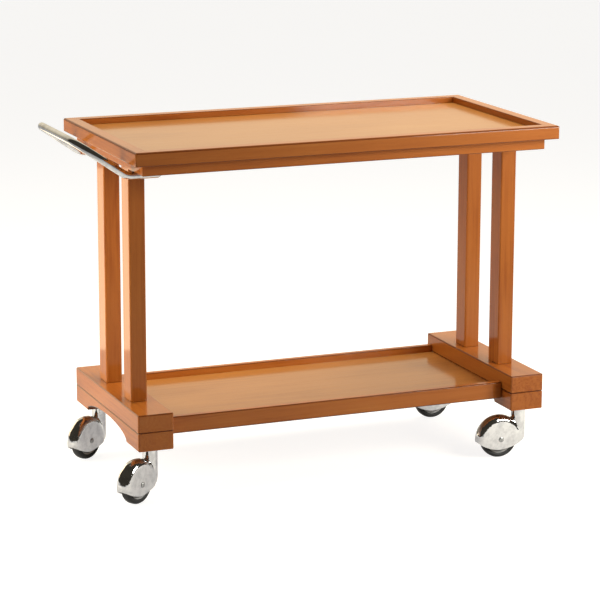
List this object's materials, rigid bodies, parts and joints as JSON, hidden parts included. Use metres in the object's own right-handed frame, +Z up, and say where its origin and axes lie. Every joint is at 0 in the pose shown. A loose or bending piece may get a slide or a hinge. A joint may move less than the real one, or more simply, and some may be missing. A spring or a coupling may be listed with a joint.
{
  "type": "service trolley",
  "caption": "Lacquered wooden service trolley with a rimmed tray top, lower shelf between arched feet, bent tube push handle and hooded swivel castors.",
  "frame": {"origin": "on the floor, under the centre of the whole trolley with its handle", "axes": "+Z up, +X along the length away from the handle, +Y from the front to the back"},
  "size_m": [1.168, 0.55, 0.8447],
  "materials": {
    "lacquered_wood": "high gloss lacquer over walnut-stained hardwood",
    "veneered_board": "satin lacquer over light veneered board",
    "dowel_wood": "raw turned beech",
    "chromed_tube": "bright chrome plate",
    "chromed_hood": "bright chrome plate on a die casting",
    "zinc_steel": "zinc plate",
    "wheel_plastic": "matt moulded nylon",
    "tyre_rubber": "matt solid rubber"
  },
  "bodies": {
    "chassis": {"tray_rail_front": "lacquered_wood", "tray_rail_back": "lacquered_wood", "tray_rail_left": "lacquered_wood", "tray_rail_right": "lacquered_wood", "tray_panel": "veneered_board", "apron_rail_front": "lacquered_wood", "apron_rail_back": "lacquered_wood", "apron_bearer_left": "lacquered_wood", "apron_bearer_right": "lacquered_wood", "post_front_left": "lacquered_wood", "post_back_left": "lacquered_wood", "post_front_right": "lacquered_wood", "post_back_right": "lacquered_wood", "post_dowel_lower_front_left": "dowel_wood", "post_dowel_lower_back_left": "dowel_wood", "post_dowel_lower_front_right": "dowel_wood", "post_dowel_lower_back_right": "dowel_wood", "post_dowel_upper_front_left": "dowel_wood", "post_dowel_upper_back_left": "dowel_wood", "post_dowel_upper_front_right": "dowel_wood", "post_dowel_upper_back_right": "dowel_wood", "foot_upper_left": "lacquered_wood", "foot_upper_right": "lacquered_wood", "foot_lower_left": "lacquered_wood", "foot_lower_right": "lacquered_wood", "shelf_rail_front": "lacquered_wood", "shelf_rail_back": "lacquered_wood", "shelf_panel": "veneered_board", "push_handle": "chromed_tube", "handle_screw_front_outer": "zinc_steel", "handle_screw_front_inner": "zinc_steel", "handle_screw_back_outer": "zinc_steel", "handle_screw_back_inner": "zinc_steel", "castor_socket_front_left": "zinc_steel", "castor_socket_back_left": "zinc_steel", "castor_socket_front_right": "zinc_steel", "castor_socket_back_right": "zinc_steel"},
    "castor_front_left": {"castor_stem_front_left": "zinc_steel", "castor_hood_front_left": "chromed_hood", "castor_axle_front_left": "zinc_steel"},
    "wheel_front_left": {"wheel_core_front_left": "wheel_plastic", "wheel_tyre_front_left": "tyre_rubber"},
    "castor_back_left": {"castor_stem_back_left": "zinc_steel", "castor_hood_back_left": "chromed_hood", "castor_axle_back_left": "zinc_steel"},
    "wheel_back_left": {"wheel_core_back_left": "wheel_plastic", "wheel_tyre_back_left": "tyre_rubber"},
    "castor_front_right": {"castor_stem_front_right": "zinc_steel", "castor_hood_front_right": "chromed_hood", "castor_axle_front_right": "zinc_steel"},
    "wheel_front_right": {"wheel_core_front_right": "wheel_plastic", "wheel_tyre_front_right": "tyre_rubber"},
    "castor_back_right": {"castor_stem_back_right": "zinc_steel", "castor_hood_back_right": "chromed_hood", "castor_axle_back_right": "zinc_steel"},
    "wheel_back_right": {"wheel_core_back_right": "wheel_plastic", "wheel_tyre_back_right": "tyre_rubber"}
  },
  "joints": [
    {"name": "swivel_front_left", "type": "hinge", "parent": "chassis", "child": "castor_front_left", "pos_m": [-0.4225, -0.194, 0.11], "axis": [0, 0, 1], "continuous": true},
    {"name": "roll_front_left", "type": "hinge", "parent": "castor_front_left", "child": "wheel_front_left", "pos_m": [-0.46586, -0.2227, 0.047], "axis": [0.5519, -0.8339, 0], "continuous": true},
    {"name": "swivel_back_left", "type": "hinge", "parent": "chassis", "child": "castor_back_left", "pos_m": [-0.4225, 0.194, 0.11], "axis": [0, 0, 1], "continuous": true},
    {"name": "roll_back_left", "type": "hinge", "parent": "castor_back_left", "child": "wheel_back_left", "pos_m": [-0.46586, 0.1653, 0.047], "axis": [0.5519, -0.8339, 0], "continuous": true},
    {"name": "swivel_front_right", "type": "hinge", "parent": "chassis", "child": "castor_front_right", "pos_m": [0.5305, -0.194, 0.11], "axis": [0, 0, 1], "continuous": true},
    {"name": "roll_front_right", "type": "hinge", "parent": "castor_front_right", "child": "wheel_front_right", "pos_m": [0.47853, -0.19218, 0.047], "axis": [-0.0349, -0.9994, 0], "continuous": true},
    {"name": "swivel_back_right", "type": "hinge", "parent": "chassis", "child": "castor_back_right", "pos_m": [0.5305, 0.194, 0.11], "axis": [0, 0, 1], "continuous": true},
    {"name": "roll_back_right", "type": "hinge", "parent": "castor_back_right", "child": "wheel_back_right", "pos_m": [0.47857, 0.19128, 0.047], "axis": [0.0523, -0.9986, 0], "continuous": true}
  ]
}
